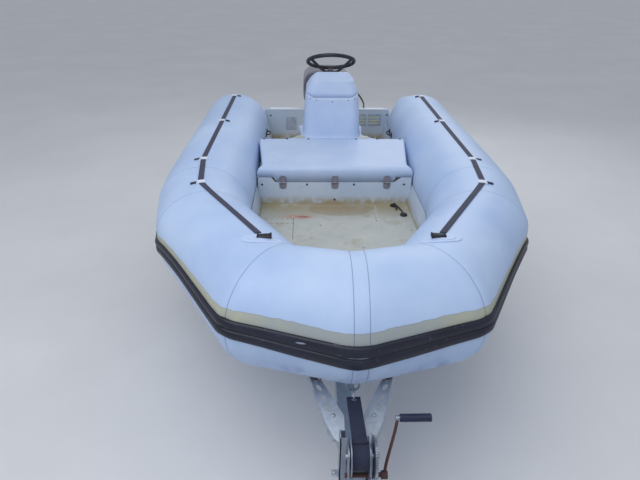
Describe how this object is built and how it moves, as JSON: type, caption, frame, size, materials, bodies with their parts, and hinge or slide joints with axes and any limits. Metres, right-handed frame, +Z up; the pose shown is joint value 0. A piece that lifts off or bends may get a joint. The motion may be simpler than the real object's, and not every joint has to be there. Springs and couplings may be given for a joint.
{
  "type": "inflatable rib boat on road trailer",
  "caption": "Inflatable boat with a rigid hull, seat console and outboard motor, on its road trailer with winch, keel rollers and jockey wheel.",
  "frame": {"origin": "centre of the outer box at ground level, under the tyres and jockey wheel", "axes": "+X forward to the bow, +Y to port, +Z up"},
  "size_m": [4.345, 1.858, 1.4566],
  "materials": {
    "tube_fabric": "coated boat fabric, weathered light grey",
    "strake_rubber": "ribbed black rubber",
    "lifeline_webbing": "black polyester webbing",
    "handle_rubber": "moulded rubber",
    "gelcoat_white": "weathered white gelcoat",
    "deck_gelcoat": "grey non-slip deck gelcoat",
    "transom_gelcoat": "grey gelcoat over plywood",
    "control_plastic": "moulded black plastic",
    "wheel_rubber": "moulded black rim on black spokes",
    "stainless_steel": "stainless steel",
    "motor_alloy_paint": "dark grey paint on cast alloy",
    "motor_cowl_plastic": "dark grey moulded cowl",
    "propeller_paint": "black paint on alloy",
    "cable_jacket": "black cable jacket",
    "galvanised_steel": "dull galvanised steel",
    "tyre_rubber": "black tyre",
    "wheel_rim_paint": "silver paint",
    "mudguard_plastic": "black moulded plastic",
    "roller_rubber": "black rubber",
    "bunk_carpet": "carpet over timber",
    "winch_zinc": "zinc plated steel",
    "winch_gear_steel": "dark cast gear and drum",
    "strap_webbing": "grey polyester strap",
    "bung_rubber": "black rubber"
  },
  "bodies": {
    "root": {"tube_stern_panels": "tube_fabric", "tube_shoulder_panels": "tube_fabric", "tube_bow_quarters": "tube_fabric", "tube_bow_port": "tube_fabric", "tube_bow_starboard": "tube_fabric", "rubbing_strake": "strake_rubber", "lifeline_webbing": "lifeline_webbing", "grab_handles": "handle_rubber", "hull": "gelcoat_white", "liner_sides": "gelcoat_white", "liner_bow": "gelcoat_white", "locker_box": "gelcoat_white", "floor_deck": "deck_gelcoat", "transom": "transom_gelcoat", "locker_hinges": "stainless_steel", "bow_towing_ring": "stainless_steel", "winch_shackle": "stainless_steel", "motor_clamp": "motor_alloy_paint", "steering_cable": "cable_jacket", "drawbar": "galvanised_steel", "axle_and_cross_beams": "galvanised_steel", "suspension_arms": "galvanised_steel", "roller_brackets": "galvanised_steel", "mudguard_brackets": "galvanised_steel", "bunk_posts": "galvanised_steel", "winch_post": "galvanised_steel", "bow_support_arms": "galvanised_steel", "coupling_head": "galvanised_steel", "jockey_tube": "galvanised_steel", "jockey_clamp": "galvanised_steel", "mudguards": "mudguard_plastic", "keel_rollers": "roller_rubber", "bow_support_pads": "roller_rubber", "bunk_boards": "bunk_carpet", "winch_cheeks": "winch_zinc", "winch_strap": "strap_webbing", "drain_bung": "bung_rubber"},
    "seat": {"seat_moulding": "gelcoat_white", "console_moulding": "gelcoat_white", "console_hood": "gelcoat_white", "helm_and_control_lever": "control_plastic", "seat_hinge_leaves": "stainless_steel"},
    "steering_wheel": {"steering_wheel": "wheel_rubber"},
    "swivel": {"swivel_bracket": "motor_alloy_paint"},
    "motor": {"motor_cowl": "motor_cowl_plastic", "motor_leg": "motor_alloy_paint", "motor_gearcase": "motor_alloy_paint"},
    "propeller": {"propeller": "propeller_paint"},
    "wheel_port": {"tyre_port": "tyre_rubber", "rim_port": "wheel_rim_paint"},
    "wheel_starboard": {"tyre_starboard": "tyre_rubber", "rim_starboard": "wheel_rim_paint"},
    "jockey_fork": {"jockey_fork": "galvanised_steel"},
    "jockey_wheel": {"jockey_wheel": "roller_rubber"},
    "winch_drum": {"winch_drum": "winch_gear_steel"},
    "winch_crank": {"winch_crank": "winch_zinc"}
  },
  "joints": [
    {"name": "seat_hinge", "type": "hinge", "parent": "root", "child": "seat", "pos_m": [-0.2815, 0, 0.837], "axis": [0, 1, 0], "range_deg": [0, 90], "deforming": ["steering_cable"]},
    {"name": "wheel_turn", "type": "hinge", "parent": "seat", "child": "steering_wheel", "pos_m": [-1.0775, 0, 1.38], "axis": [-0.4147, 0, 0.91], "range_deg": [-630, 630]},
    {"name": "motor_tilt", "type": "hinge", "parent": "root", "child": "swivel", "pos_m": [-1.6675, 0, 0.815], "axis": [0, 1, 0], "range_deg": [0, 68], "deforming": ["steering_cable"]},
    {"name": "motor_steer", "type": "hinge", "parent": "swivel", "child": "motor", "pos_m": [-1.7225, 0, 0.7], "axis": [0, 0, 1], "range_deg": [-35, 35]},
    {"name": "propeller_spin", "type": "hinge", "parent": "motor", "child": "propeller", "pos_m": [-1.9895, 0, 0.254], "axis": [1, 0, 0], "continuous": true},
    {"name": "wheel_spin_port", "type": "hinge", "parent": "root", "child": "wheel_port", "pos_m": [-0.6275, 0.72, 0.25], "axis": [0, 1, 0], "continuous": true},
    {"name": "wheel_spin_starboard", "type": "hinge", "parent": "root", "child": "wheel_starboard", "pos_m": [-0.6275, -0.72, 0.25], "axis": [0, 1, 0], "continuous": true},
    {"name": "jockey_swivel", "type": "hinge", "parent": "root", "child": "jockey_fork", "pos_m": [1.7725, -0.076, 0.21], "axis": [0, 0, 1], "continuous": true},
    {"name": "jockey_roll", "type": "hinge", "parent": "jockey_fork", "child": "jockey_wheel", "pos_m": [1.7275, -0.076, 0.1], "axis": [0, 1, 0], "continuous": true},
    {"name": "winch_drum_turn", "type": "hinge", "parent": "root", "child": "winch_drum", "pos_m": [1.4725, 0, 0.586], "axis": [0, 1, 0], "continuous": true},
    {"name": "winch_crank_turn", "type": "hinge", "parent": "root", "child": "winch_crank", "pos_m": [1.4725, 0, 0.499], "axis": [0, 1, 0], "continuous": true}
  ],
  "couplings": [
    {"joint": "wheel_turn", "follows": "motor_steer", "ratio": -18},
    {"joint": "winch_crank_turn", "follows": "winch_drum_turn", "ratio": -5.0714}
  ]
}
